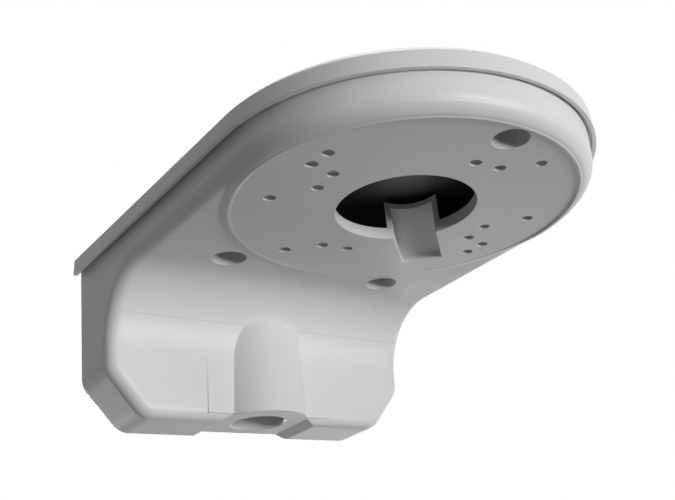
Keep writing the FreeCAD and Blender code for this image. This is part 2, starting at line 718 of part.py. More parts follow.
def button_screw(label, across, along, height, length):
    """A button-head screw with a hexagon socket. Its head hangs below its own origin."""
    body = new_body(label, across, along, height)
    sketch = new_sketch(body, label + "_section", "XZ_Plane")
    draw_outline(sketch, (
        ("0", "-head_height"),
        ("head_top_radius", "-head_height"),
        ("head_radius", "-head_rim"),
        ("head_radius", "0"),
        ("screw_radius", "0"),
        ("screw_radius", length),
        ("0", length),
    ))
    revolve(body, sketch, 360)
    socket = new_sketch(body, label + "_socket", "XY_Plane", "-head_height")
    reach = "(hex_across / 2 / cos(30))"
    corners = [(f"({reach} * cos({turn}))", f"({reach} * sin({turn}))") for turn in range(0, 360, 60)]
    draw_outline(socket, corners)
    extrude(body, "Pocket", socket, "hex_depth", back=True)
    return body


def ring(label, across, along, height, radius, thickness):
    """A flat ring round a screw: a washer or a sealing washer."""
    body = new_body(label, across, along, height)
    sketch = new_sketch(body, label + "_section", "XY_Plane")
    draw_circle(sketch, "0", "0", radius)
    draw_circle(sketch, "0", "0", "(screw_radius + thread_gap)")
    extrude(body, "Pad", sketch, thickness)
    return body


def cover_screws():
    """Each cover screw with its washer and the sealing washer under that, in its post."""
    pieces = []
    for place, (across, along) in POSTS.items():
        pieces.append(button_screw("cover_screw_" + place, across, along, WASHER_FOOT, "screw_length"))
        for name, height, radius, thickness in (
            ("screw_washer_", WASHER_FOOT, "washer_radius", "washer_thickness"),
            ("screw_seal_", SEAL_FOOT, "screw_seal_radius", "screw_seal_thickness"),
        ):
            pieces.append(ring(name + place, across, along, height, radius, thickness))
    return pieces


def earth_fixing():
    """The earth screw, head up, and its washer."""
    washer = ring("earth_washer", *EARTH, EARTH_SEAT, "(earth_boss_radius - thread_gap)", "washer_thickness")
    screw = button_screw("earth_screw", *EARTH, f"({EARTH_SEAT} + washer_thickness)", "earth_screw_length")
    screw.Placement = Placement(screw.Placement.Base, Rotation(Vector(1, 0, 0), 180))
    return [washer, screw]


def write_pieces(pieces):
    """Stops at any failed object, and writes each piece by its name."""
    doc.recompute()
    for item in doc.Objects:
        if "Invalid" in item.State or "Error" in item.State:
            raise RuntimeError(f"{item.Name} failed: {item.State}")
    os.makedirs("parts", exist_ok=True)
    for piece in pieces:
        if piece.Shape.isNull() or not piece.Shape.isValid() or len(piece.Shape.Solids) != 1:
            raise RuntimeError(f"{piece.Label} is not one sound solid")
    for piece in pieces:
        piece.Shape.exportStep(f"parts/{piece.Label}.step")
        print(f"{piece.Label}: {piece.Shape.Volume:.0f} mm3")


write_pieces([housing(), top_cover(), cover_seal(), *cover_screws(), *earth_fixing()])
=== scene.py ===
"""Looks of the camera junction box: a white cast arm and wall block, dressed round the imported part.

The scene is in metres, in the part's own frame, and a size that is given in millimetres says so.
The wall is the plane y = 0, and the arm reaches out along -Y. The camera looks up at the underside
of the arm, from its left.
"""

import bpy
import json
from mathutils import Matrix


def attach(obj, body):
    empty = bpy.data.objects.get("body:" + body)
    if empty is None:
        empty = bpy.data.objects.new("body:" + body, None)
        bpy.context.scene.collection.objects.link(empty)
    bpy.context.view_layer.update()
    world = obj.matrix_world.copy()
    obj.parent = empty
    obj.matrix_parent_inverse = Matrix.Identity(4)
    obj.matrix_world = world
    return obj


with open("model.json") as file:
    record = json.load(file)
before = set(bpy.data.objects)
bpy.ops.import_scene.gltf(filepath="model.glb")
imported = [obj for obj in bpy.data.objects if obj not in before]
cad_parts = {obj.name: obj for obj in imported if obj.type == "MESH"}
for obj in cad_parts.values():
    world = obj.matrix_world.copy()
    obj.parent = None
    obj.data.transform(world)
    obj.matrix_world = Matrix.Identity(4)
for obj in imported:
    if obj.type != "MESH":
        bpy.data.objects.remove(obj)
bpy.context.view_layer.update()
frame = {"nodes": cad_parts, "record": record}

import json
import logging
from collections.abc import Mapping, Sequence
from dataclasses import dataclass, field
from enum import Enum
from typing import Any

import bmesh
import bpy
import numpy as np
from mathutils import Matrix, Vector

LOG = logging.getLogger("camera_junction_box")
# Width and height of the photograph, in pixels.
PHOTO_WIDTH = 675
PHOTO_HEIGHT = 500
# One millimetre, in metres.
MM = 0.001
# Vertices that are nearer to each other than this, in metres, are merged.
JOINED = 1e-7
# An edge is drawn sharp where its two faces turn by more than this, in degrees.
SHARP = 50.0
# Rays by which a Bevel node rounds an edge.
EDGE_RAYS = 6
# Sockets of a Mix node for colours: the share, the two colours and the result.
SHARE, FIRST, SECOND, MIXED = 0, 6, 7, 2
# The background's colour, which shows as plain white at a strength of 1.
WHITE = "#ffffff"


class Slot(Enum):
    """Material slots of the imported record."""

    COAT = "casting_coat"
    RUBBER = "seal_rubber"
    STEEL = "stainless"


# ---------------------------------------------------------------- node and colour helpers


def linear(hex_colour: str) -> tuple[float, float, float, float]:
    """Turns an sRGB hex colour to linear light.

    A channel c becomes c / 12.92 up to 0.04045, and ((c + 0.055) / 1.055)^2.4 above that.

    Args:
        hex_colour: "#rrggbb".

    Returns:
        Red, green, blue in linear light, and an alpha of 1.
    """
    code = np.array([int(hex_colour[i : i + 2], 16) for i in (1, 3, 5)]) / 255
    light = np.where(code <= 0.04045, code / 12.92, ((code + 0.055) / 1.055) ** 2.4)
    return (*map(float, light), 1.0)


def add_node(
    tree: bpy.types.NodeTree,
    kind: str,
    settings: Mapping[str, Any] | None = None,
    inputs: Mapping[str | int, Any] | None = None,
) -> bpy.types.Node:
    """Adds one node with its settings and its inputs.

    Args:
        tree: the tree it goes into.
        kind: the node's type.
        settings: the node's own properties by name.
        inputs: for each input by name or number, a constant or the output socket that feeds it.

    Returns:
        The new node.
    """
    node = tree.nodes.new(kind)
    for name, value in (settings or {}).items():
        setattr(node, name, value)
    for name, value in (inputs or {}).items():
        if isinstance(value, bpy.types.NodeSocket):
            tree.links.new(value, node.inputs[name])
        else:
            node.inputs[name].default_value = value
    return node


def new_tree(name: str) -> tuple[bpy.types.Material, bpy.types.NodeTree]:
    """Makes an empty material.

    Args:
        name: the material's name.

    Returns:
        The material and its node tree.
    """
    material = bpy.data.materials.new(name)
    material.use_nodes = True
    material.node_tree.nodes.clear()
    return material, material.node_tree


def background_rays(tree: bpy.types.NodeTree) -> bpy.types.NodeSocket:
    """Tells the rays that show the background from those that light the object.

    Args:
        tree: the tree it goes into.

    Returns:
        1 for the camera's rays and those that gloss or glass sends on, and 0 for all others.
    """
    path = add_node(tree, "ShaderNodeLightPath")
    direct = add_node(
        tree,
        "ShaderNodeMath",
        {"operation": "MAXIMUM"},
        {0: path.outputs["Is Camera Ray"], 1: path.outputs["Is Glossy Ray"]},
    )
    seen = add_node(
        tree,
        "ShaderNodeMath",
        {"operation": "MAXIMUM"},
        {0: direct.outputs[0], 1: path.outputs["Is Transmission Ray"]},
    )
    return seen.outputs[0]


# ---------------------------------------------------------------- finishes


@dataclass(frozen=True)
class PowderCoat:
    """Polyester powder coat, sprayed and baked on die-cast aluminium.

    It reads as one clean white with a satin sheen. The melt leaves a faint orange peel, and the
    film rounds every edge that the casting has left sharp.

    Attributes:
        name: the material's name.
        colour: the coat.
        shade: the coat where it lies a little thicker.
        roughness: middle roughness of the film.
        uneven: how far the roughness goes to either side of that.
        ior: index of refraction of the film.
        peel_mm: from one dimple of the orange peel to the next.
        peel_deep_mm: depth of a dimple.
        peel_share: how much of that depth the light shows.
        grain_mm: powder grain, drawn three times too coarse so that it shows.
        grain_deep_mm: height of a grain.
        grain_share: how much of that height the light shows.
        cloud_mm: spacing of the slow change of shade.
        edge_mm: radius that the film gives to a sharp edge.
    """

    name: str = "powder_coat_on_die_cast_aluminium"
    colour: str = "#e9e9e8"
    shade: str = "#e3e3e3"
    roughness: float = 0.44
    uneven: float = 0.05
    ior: float = 1.5
    peel_mm: float = 1.5
    peel_deep_mm: float = 0.02
    peel_share: float = 0.35
    grain_mm: float = 0.35
    grain_deep_mm: float = 0.006
    grain_share: float = 0.3
    cloud_mm: float = 28.0
    edge_mm: float = 0.45

    def material(self) -> bpy.types.Material:
        """Builds the material and returns it."""
        material, tree = new_tree(self.name)
        place = add_node(tree, "ShaderNodeTexCoord").outputs["Object"]
        peel, grain = (
            add_node(
                tree,
                "ShaderNodeTexNoise",
                inputs={"Vector": place, "Scale": 1 / (spacing * MM), "Detail": detail},
            ).outputs[0]
            for spacing, detail in ((self.peel_mm, 1.0), (self.grain_mm, 2.0))
        )
        rough = add_node(
            tree,
            "ShaderNodeMapRange",
            inputs={
                "Value": grain,
                "To Min": self.roughness - self.uneven,
                "To Max": self.roughness + self.uneven,
            },
        )
        edge = add_node(
            tree, "ShaderNodeBevel", {"samples": EDGE_RAYS}, {"Radius": self.edge_mm * MM}
        )
        dimples = add_node(
            tree,
            "ShaderNodeBump",
            inputs={
                "Strength": self.peel_share,
                "Distance": self.peel_deep_mm * MM,
                "Height": peel,
                "Normal": edge.outputs[0],
            },
        )
        fine = add_node(
            tree,
            "ShaderNodeBump",
            inputs={
                "Strength": self.grain_share,
                "Distance": self.grain_deep_mm * MM,
                "Height": grain,
                "Normal": dimples.outputs[0],
            },
        )
        shader = add_node(
            tree,
            "ShaderNodeBsdfPrincipled",
            inputs={
                "Base Color": self._colour(tree, place),
                "Roughness": rough.outputs[0],
                "IOR": self.ior,
                "Normal": fine.outputs[0],
            },
        )
        add_node(tree, "ShaderNodeOutputMaterial", inputs={"Surface": shader.outputs[0]})
        return material

    def _colour(
        self, tree: bpy.types.NodeTree, place: bpy.types.NodeSocket
    ) -> bpy.types.NodeSocket:
        """The coat's colour, which changes slowly from place to place.

        Args:
            tree: the tree it goes into.
            place: coordinates in metres.

        Returns:
            The colour.
        """
        cloud = add_node(
            tree,
            "ShaderNodeTexNoise",
            inputs={"Vector": place, "Scale": 1 / (self.cloud_mm * MM), "Detail": 2.0},
        )
        mixed = add_node(
            tree,
            "ShaderNodeMix",
            {"data_type": "RGBA"},
            {SHARE: cloud.outputs[0], FIRST: linear(self.colour), SECOND: linear(self.shade)},
        )
        return mixed.outputs[MIXED]


@dataclass(frozen=True)
class HousingCoat(PowderCoat):
    """The same coat on the housing, with painted shade along the die's parting line across the sweep.

    Attributes:
        name: the material's name.
        painted_line_shade: painted shade, a little darker than the coat, along the parting line.
        line_mm: y and z of the line, which runs along x.
        line_shade_mm: half the width of the painted shade.
    """

    name: str = "powder_coat_with_painted_line_shade"
    # Painted shade: a darker band that stands in for the shade of the parting line's small step.
    painted_line_shade: str = "#dededd"
    line_mm: tuple[float, float] = (-29.67, -12.37)
    line_shade_mm: float = 0.35

    def _colour(
        self, tree: bpy.types.NodeTree, place: bpy.types.NodeSocket
    ) -> bpy.types.NodeSocket:
        """The coat's colour, and the painted shade's where sqrt((y - y0)^2 + (z - z0)^2) is small.

        Args:
            tree: the tree it goes into.
            place: coordinates in metres.

        Returns:
            The colour.
        """
        from_line = add_node(
            tree,
            "ShaderNodeVectorMath",
            {"operation": "SUBTRACT"},
            {0: place, 1: (0.0, self.line_mm[0] * MM, self.line_mm[1] * MM)},
        )
        across = add_node(
            tree,
            "ShaderNodeVectorMath",
            {"operation": "MULTIPLY"},
            {0: from_line.outputs[0], 1: (0.0, 1.0, 1.0)},
        )
        distance = add_node(
            tree, "ShaderNodeVectorMath", {"operation": "LENGTH"}, {0: across.outputs[0]}
        )
        near = add_node(
            tree,
            "ShaderNodeMath",
            {"operation": "LESS_THAN"},
            {0: distance.outputs["Value"], 1: self.line_shade_mm * MM},
        )
        coat = super()._colour(tree, place)
        # Painted shade along the parting line.
        mixed = add_node(
            tree,
            "ShaderNodeMix",
            {"data_type": "RGBA"},
            {SHARE: near.outputs[0], FIRST: coat, SECOND: linear(self.painted_line_shade)},
        )
        return mixed.outputs[MIXED]


@dataclass(frozen=True)
class CoverCoat(PowderCoat):
    """The same coat on the cover, with painted shade inside it.

    Its inside is painted a dull dark grey in place of shade, so the cable opening looks dark.

    Attributes:
        name: the material's name.
        inside_shade: painted shade, a dull dark grey, on the cover's inside.
        inside_mm: inner side of the cover's wall from its middle plane, and from the arm's axis.
        reach_mm: wall plane to the arm's axis.
        back_mm: wall plane to the inner side of the cover's back wall.
        ceiling_mm: a little above the cover's ceiling.
    """

    name: str = "powder_coat_with_painted_dark_inside"
    # Painted shade: dark grey inside the cover, in place of the shade in the cable opening.
    inside_shade: str = "#757576"
    inside_mm: float = 63.6
    reach_mm: float = 123.0
    back_mm: float = 3.9
    ceiling_mm: float = 18.4

    def _colour(
        self, tree: bpy.types.NodeTree, place: bpy.types.NodeSocket
    ) -> bpy.types.NodeSocket:
        """The coat's colour outside, and the painted shade inside.

        The inside is where sqrt(x^2 + min(y + reach, 0)^2) is less than the wall's place, as the
        cover's outline is a half circle with two straight sides, and below the ceiling.

        Args:
            tree: the tree it goes into.
            place: coordinates in metres.

        Returns:
            The colour.
        """
        from_axis = add_node(
            tree,
            "ShaderNodeVectorMath",
            {"operation": "ADD"},
            {0: place, 1: (0.0, self.reach_mm * MM, 0.0)},
        )
        # On the cover x stays below 1 m and z above 0, so only y is cut off here.
        in_plan = add_node(
            tree,
            "ShaderNodeVectorMath",
            {"operation": "MINIMUM"},
            {0: from_axis.outputs[0], 1: (1.0, 0.0, 0.0)},
        )
        distance = add_node(
            tree, "ShaderNodeVectorMath", {"operation": "LENGTH"}, {0: in_plan.outputs[0]}
        )
        axes = add_node(tree, "ShaderNodeSeparateXYZ", inputs={0: place})
        limits = (
            (distance.outputs["Value"], self.inside_mm),
            (axes.outputs["Y"], -self.back_mm),
            (axes.outputs["Z"], self.ceiling_mm),
        )
        outline, back, ceiling = (
            add_node(
                tree, "ShaderNodeMath", {"operation": "LESS_THAN"}, {0: way, 1: limit * MM}
            ).outputs[0]
            for way, limit in limits
        )
        below = add_node(tree, "ShaderNodeMath", {"operation": "MINIMUM"}, {0: back, 1: ceiling})
        inside = add_node(
            tree, "ShaderNodeMath", {"operation": "MINIMUM"}, {0: outline, 1: below.outputs[0]}
        )
        coat = super()._colour(tree, place)
        # Painted shade inside the cover.
        mixed = add_node(
            tree,
            "ShaderNodeMix",
            {"data_type": "RGBA"},
            {SHARE: inside.outputs[0], FIRST: coat, SECOND: linear(self.inside_shade)},
        )
        return mixed.outputs[MIXED]


@dataclass(frozen=True)
class CutAluminium:
    """Die-cast aluminium where a tap has cut it after coating.

    It is bare, grey and bright along the crests, with the tap's fine marks round the hole.

    Attributes:
        name: the material's name.
        colour: the bare metal.
        roughness: middle roughness of the cut.
        uneven: how far the roughness goes to either side of that.
        mark_mm: from one tool mark to the next, drawn coarser than it is.
        mark_deep_mm: depth of a mark.
        mark_share: how much of that depth the light shows.
        mark_scale: scale of the marks along x, y and z, where less draws them out.
    """

    name: str = "tapped_bare_aluminium"
    colour: str = "#b9babb"
    roughness: float = 0.38
    uneven: float = 0.1
    mark_mm: float = 0.25
    mark_deep_mm: float = 0.01
    mark_share: float = 0.4
    mark_scale: tuple[float, float, float] = (0.15, 0.15, 1.0)

    def material(self) -> bpy.types.Material:
        """Builds the material and returns it."""
        material, tree = new_tree(self.name)
        place = add_node(tree, "ShaderNodeTexCoord").outputs["Object"]
        drawn = add_node(
            tree, "ShaderNodeMapping", inputs={"Vector": place, "Scale": self.mark_scale}
        )
        marks = add_node(
            tree,
            "ShaderNodeTexNoise",
            inputs={"Vector": drawn.outputs[0], "Scale": 1 / (self.mark_mm * MM), "Detail": 2.0},
        )
        rough = add_node(
            tree,
            "ShaderNodeMapRange",
            inputs={
                "Value": marks.outputs[0],
                "To Min": self.roughness - self.uneven,
                "To Max": self.roughness + self.uneven,
            },
        )
        bump = add_node(
            tree,
            "ShaderNodeBump",
            inputs={
                "Strength": self.mark_share,
                "Distance": self.mark_deep_mm * MM,
                "Height": marks.outputs[0],
            },
        )
        shader = add_node(
            tree,
            "ShaderNodeBsdfPrincipled",
            inputs={
                "Base Color": linear(self.colour),
                "Metallic": 1.0,
                "Roughness": rough.outputs[0],
                "Normal": bump.outputs[0],
            },
        )
        add_node(tree, "ShaderNodeOutputMaterial", inputs={"Surface": shader.outputs[0]})
        return material


@dataclass(frozen=True)
class TurnedSteel:
    """Stainless steel, cold-headed and turned, for screws and washers.

    It is a warm grey metal with a soft shine, and fine marks that scatter it.

    Attributes:
        name: the material's name.
        colour: the metal.
        roughness: middle roughness.
        uneven: how far the roughness goes to either side of that.
        mark_mm: from one mark to the next, drawn coarser than it is.
        mark_deep_mm: depth of a mark.
        mark_share: how much of that depth the light shows.
        edge_mm: radius of a broken edge.
    """

    name: str = "turned_stainless_steel"
    colour: str = "#bfbdb8"
    roughness: float = 0.3
    uneven: float = 0.08
    mark_mm: float = 0.3
    mark_deep_mm: float = 0.006
    mark_share: float = 0.3
    edge_mm: float = 0.12

    def material(self) -> bpy.types.Material:
        """Builds the material and returns it."""
        material, tree = new_tree(self.name)
        place = add_node(tree, "ShaderNodeTexCoord").outputs["Object"]
        marks = add_node(
            tree,
            "ShaderNodeTexNoise",
            inputs={"Vector": place, "Scale": 1 / (self.mark_mm * MM), "Detail": 3.0},
        )
        rough = add_node(
            tree,
            "ShaderNodeMapRange",
            inputs={
                "Value": marks.outputs[0],
                "To Min": self.roughness - self.uneven,
                "To Max": self.roughness + self.uneven,
            },
        )
        edge = add_node(
            tree, "ShaderNodeBevel", {"samples": EDGE_RAYS}, {"Radius": self.edge_mm * MM}
        )
        bump = add_node(
            tree,
            "ShaderNodeBump",
            inputs={
                "Strength": self.mark_share,
                "Distance": self.mark_deep_mm * MM,
                "Height": marks.outputs[0],
                "Normal": edge.outputs[0],
            },
        )
        shader = add_node(
            tree,
            "ShaderNodeBsdfPrincipled",
            inputs={
                "Base Color": linear(self.colour),
                "Metallic": 1.0,
                "Roughness": rough.outputs[0],
                "Normal": bump.outputs[0],
            },
        )
        add_node(tree, "ShaderNodeOutputMaterial", inputs={"Surface": shader.outputs[0]})
        return material


@dataclass(frozen=True)
class SiliconeRubber:
    """Silicone rubber, moulded, for the seals.

    It is a dull dark grey, with a fine bloom of talc that greys it unevenly.

    Attributes:
        name: the material's name.
        colour: the rubber.
        bloom: the rubber under its bloom.
        roughness: of the moulded skin.
        ior: index of refraction of silicone.
        bloom_mm: spacing of the bloom's patches.
        bloom_deep_mm: height of a patch.
        bloom_share: how much of that height the light shows.
    """

    name: str = "moulded_silicone_rubber"
    colour: str = "#2b2b2c"
    bloom: str = "#3c3c3d"
    roughness: float = 0.72
    ior: float = 1.41
    bloom_mm: float = 2.5
    bloom_deep_mm: float = 0.02
    bloom_share: float = 0.3

    def material(self) -> bpy.types.Material:
        """Builds the material and returns it."""
        material, tree = new_tree(self.name)
        place = add_node(tree, "ShaderNodeTexCoord").outputs["Object"]
        patches = add_node(
            tree,
            "ShaderNodeTexNoise",
            inputs={"Vector": place, "Scale": 1 / (self.bloom_mm * MM), "Detail": 4.0},
        )
        colour = add_node(
            tree,
            "ShaderNodeMix",
            {"data_type": "RGBA"},
            {SHARE: patches.outputs[0], FIRST: linear(self.colour), SECOND: linear(self.bloom)},
        )
        bump = add_node(
            tree,
            "ShaderNodeBump",
            inputs={
                "Strength": self.bloom_share,
                "Distance": self.bloom_deep_mm * MM,
                "Height": patches.outputs[0],
            },
        )
        shader = add_node(
            tree,
            "ShaderNodeBsdfPrincipled",
            inputs={
                "Base Color": colour.outputs[MIXED],
                "Roughness": self.roughness,
                "IOR": self.ior,
                "Normal": bump.outputs[0],
            },
        )
        add_node(tree, "ShaderNodeOutputMaterial", inputs={"Surface": shader.outputs[0]})
        return material


@dataclass(frozen=True)
class StudioPaper:
    """Matt background paper of uncoated pulp, which reads as plain white under a faint shadow.

    Attributes:
        name: the material's name.
        colour: the paper.
        roughness: of the paper.
        seen: how much of the plain white shows in the camera and in gloss, over the lit paper.
    """

    name: str = "studio_paper"
    colour: str = "#e2e2e2"
    roughness: float = 0.9
    seen: float = 0.8

    def material(self) -> bpy.types.Material:
        """Builds the material and returns it."""
        material, tree = new_tree(self.name)
        share = add_node(
            tree,
            "ShaderNodeMath",
            {"operation": "MULTIPLY"},
            {0: background_rays(tree), 1: self.seen},
        )
        lit = add_node(
            tree,
            "ShaderNodeBsdfPrincipled",
            inputs={"Base Color": linear(self.colour), "Roughness": self.roughness},
        )
        plain = add_node(
            tree, "ShaderNodeEmission", inputs={"Color": linear(WHITE), "Strength": 1.0}
        )
        both = add_node(
            tree,
            "ShaderNodeMixShader",
            inputs={0: share.outputs[0], 1: lit.outputs[0], 2: plain.outputs[0]},
        )
        add_node(tree, "ShaderNodeOutputMaterial", inputs={"Surface": both.outputs[0]})
        return material


# ---------------------------------------------------------------- surfaces


def grid_faces(rows: int, columns: int) -> np.ndarray:
    """Quads of a grid that closes on itself along both parameters.

    The quad at row r and column c joins rows r and r + 1 and columns c and c + 1, and the last row
    and the last column are joined to the first.

    Args:
        rows: points along the first parameter.
        columns: points along the second parameter.

    Returns:
        Four vertex numbers for each quad.
    """
    row, column = np.meshgrid(np.arange(rows), np.arange(columns), indexing="ij")
    next_row, next_column = (row + 1) % rows, (column + 1) % columns
    corners = (
        row * columns + column,
        next_row * columns + column,
        next_row * columns + next_column,
        row * columns + next_column,
    )
    return np.stack(corners, axis=-1).reshape(-1, 4)


def smooth_step(share: np.ndarray) -> np.ndarray:
    """Goes from 0 to 1 without a kink: 3 t^2 - 2 t^3 for t between 0 and 1."""
    inside = np.clip(share, 0, 1)
    return inside**2 * (3 - 2 * inside)


def make_piece(
    name: str, points: np.ndarray, faces: np.ndarray, material: bpy.types.Material
) -> bpy.types.Object:
    """Puts a computed surface into the scene as a smooth piece that rides on the part.

    Args:
        name: the piece's name.
        points: vertex places in metres.
        faces: vertex numbers of each face.
        material: its finish.

    Returns:
        The new object.
    """
    mesh = bpy.data.meshes.new(name)
    mesh.from_pydata(points.tolist(), [], faces.tolist())
    shell = bmesh.new()
    shell.from_mesh(mesh)
    bmesh.ops.remove_doubles(shell, verts=shell.verts, dist=JOINED)
    bmesh.ops.recalc_face_normals(shell, faces=shell.faces)
    shell.to_mesh(mesh)
    shell.free()
    mesh.polygons.foreach_set("use_smooth", np.full(len(mesh.polygons), True))
    mesh.set_sharp_from_angle(angle=float(np.radians(SHARP)))
    mesh.materials.append(material)
    mesh.update()
    piece = bpy.data.objects.new(name, mesh)
    bpy.context.scene.collection.objects.link(piece)
    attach(piece, "root")
    LOG.info("%s: %d faces", name, len(mesh.polygons))
    return piece


@dataclass
class TappedThread:
    """A cut thread as a thin sleeve that lines a hole.

    Attributes:
        hole_radius: radius of the hole's wall, at the bottom of the thread's grooves, in mm.
        pitch: from one turn to the next, in mm.
        depth: of the grooves, in mm.
        foot: height of the thread's open end, in mm.
        length: of the thread, in mm.
        around: points round the hole.
        per_turn: points along one pitch.
        flat: share of half a pitch that a ridge's top takes, and a groove's bottom too.
        lift: how far the groove's bottom stands off the hole's wall, in mm.
        backing: how far the sleeve goes behind the hole's wall, in mm.
    """

    hole_radius: float
    pitch: float
    depth: float
    foot: float
    length: float
    around: int = 72
    per_turn: int = 12
    flat: float = 0.14
    lift: float = 0.02
    backing: float = 0.05

    def sleeve(self) -> tuple[np.ndarray, np.ndarray]:
        """The sleeve's surface about the Z axis.

        At angle a and height h the inner wall's radius is the hole's, less a small lift and less
        the thread's depth times a ridge. The ridge is a triangle wave of h / pitch - a / one turn,
        with its tops and roots cut flat. It rises from nothing over the first pitch and falls back
        over the last. The outer wall is a plain cylinder just behind the hole's wall, and the two
        meet at both ends.

        Returns:
            Vertex places in mm, and the vertex numbers of each quad.
        """
        steps = int(np.ceil(self.length / self.pitch * self.per_turn)) + 1
        height = np.linspace(0, self.length, steps)
        angle = np.linspace(0, 2 * np.pi, self.around, endpoint=False)
        turns = height[None, :] / self.pitch - angle[:, None] / (2 * np.pi)
        wave = np.abs(2 * (turns - np.floor(turns)) - 1)
        ridge = np.clip((wave - self.flat) / (1 - 2 * self.flat), 0, 1)
        fade = np.clip(np.minimum(height, self.length - height) / self.pitch, 0, 1)
        inner = self.hole_radius - self.lift - self.depth * ridge * fade[None, :]
        outer = np.full_like(inner, self.hole_radius + self.backing)
        radius = np.concatenate((inner, outer[:, ::-1]), axis=1)
        level = np.concatenate((height, height[::-1]))
        points = np.stack(
            (
                radius * np.cos(angle)[:, None],
                radius * np.sin(angle)[:, None],
                np.broadcast_to(self.foot + level, radius.shape),
            ),
            axis=-1,
        )
        return points.reshape(-1, 3), grid_faces(self.around, 2 * steps)


@dataclass
class ConduitThread:
    """The pipe thread G 1/2 in the boss under the block: 14 turns to the inch.

    Attributes:
        finish: bare cut metal.
        set_back: wall plane to the conduit's axis, in mm.
        thread: its sleeve.
    """

    finish: bpy.types.Material
    set_back: float = 15.2
    thread: TappedThread = field(
        default_factory=lambda: TappedThread(
            hole_radius=10.4775, pitch=25.4 / 14, depth=1.162, foot=-42.0, length=9.0
        )
    )

    def build(self) -> bpy.types.Object:
        """Builds the sleeve in its place and returns it."""
        points, faces = self.thread.sleeve()
        place = np.array([0.0, -self.set_back, 0.0])
        return make_piece("conduit_thread", (points + place) * MM, faces, self.finish)


@dataclass
class CameraThreads:
    """M4 threads in the sixteen blind holes of the camera face.

    Attributes:
        finish: bare cut metal.
        reach: wall plane to the middle of the cable opening, in mm.
        circles: radius and first angle of each circle of four holes, in mm and degrees.
        rectangle: half length and half width of the last four holes, in mm.
        thread: one sleeve.
    """

    finish: bpy.types.Material
    reach: float = 123.0
    circles: Sequence[tuple[float, float]] = ((36.9, 0.0), (39.15, 15.0), (51.05, 24.1))
    rectangle: tuple[float, float] = (47.25, 12.7)
    thread: TappedThread = field(
        default_factory=lambda: TappedThread(
            hole_radius=2.05, pitch=0.7, depth=0.43, foot=1.7, length=3.9, around=24, per_turn=6
        )
    )

    def places(self) -> np.ndarray:
        """Across and along of every hole, from the middle of the opening, in mm."""
        quarters = np.radians(np.arange(4) * 90.0)
        rings = []
        for radius, turn in self.circles:
            angle = quarters + np.radians(turn)
            rings.append(np.stack((radius * np.cos(angle), radius * np.sin(angle)), axis=-1))
        length, width = self.rectangle
        corners = np.array([(-length, -width), (-length, width), (length, -width), (length, width)])
        return np.concatenate((*rings, corners))

    def build(self) -> bpy.types.Object:
        """Builds all sleeves as one piece and returns it."""
        points, faces = self.thread.sleeve()
        places = np.pad(self.places() - np.array([0.0, self.reach]), ((0, 0), (0, 1)))
        all_points = (points[None] + places[:, None]).reshape(-1, 3)
        numbers = np.arange(len(places))[:, None, None] * len(points)
        all_faces = (faces[None] + numbers).reshape(-1, 4)
        return make_piece("camera_threads", all_points * MM, all_faces, self.finish)


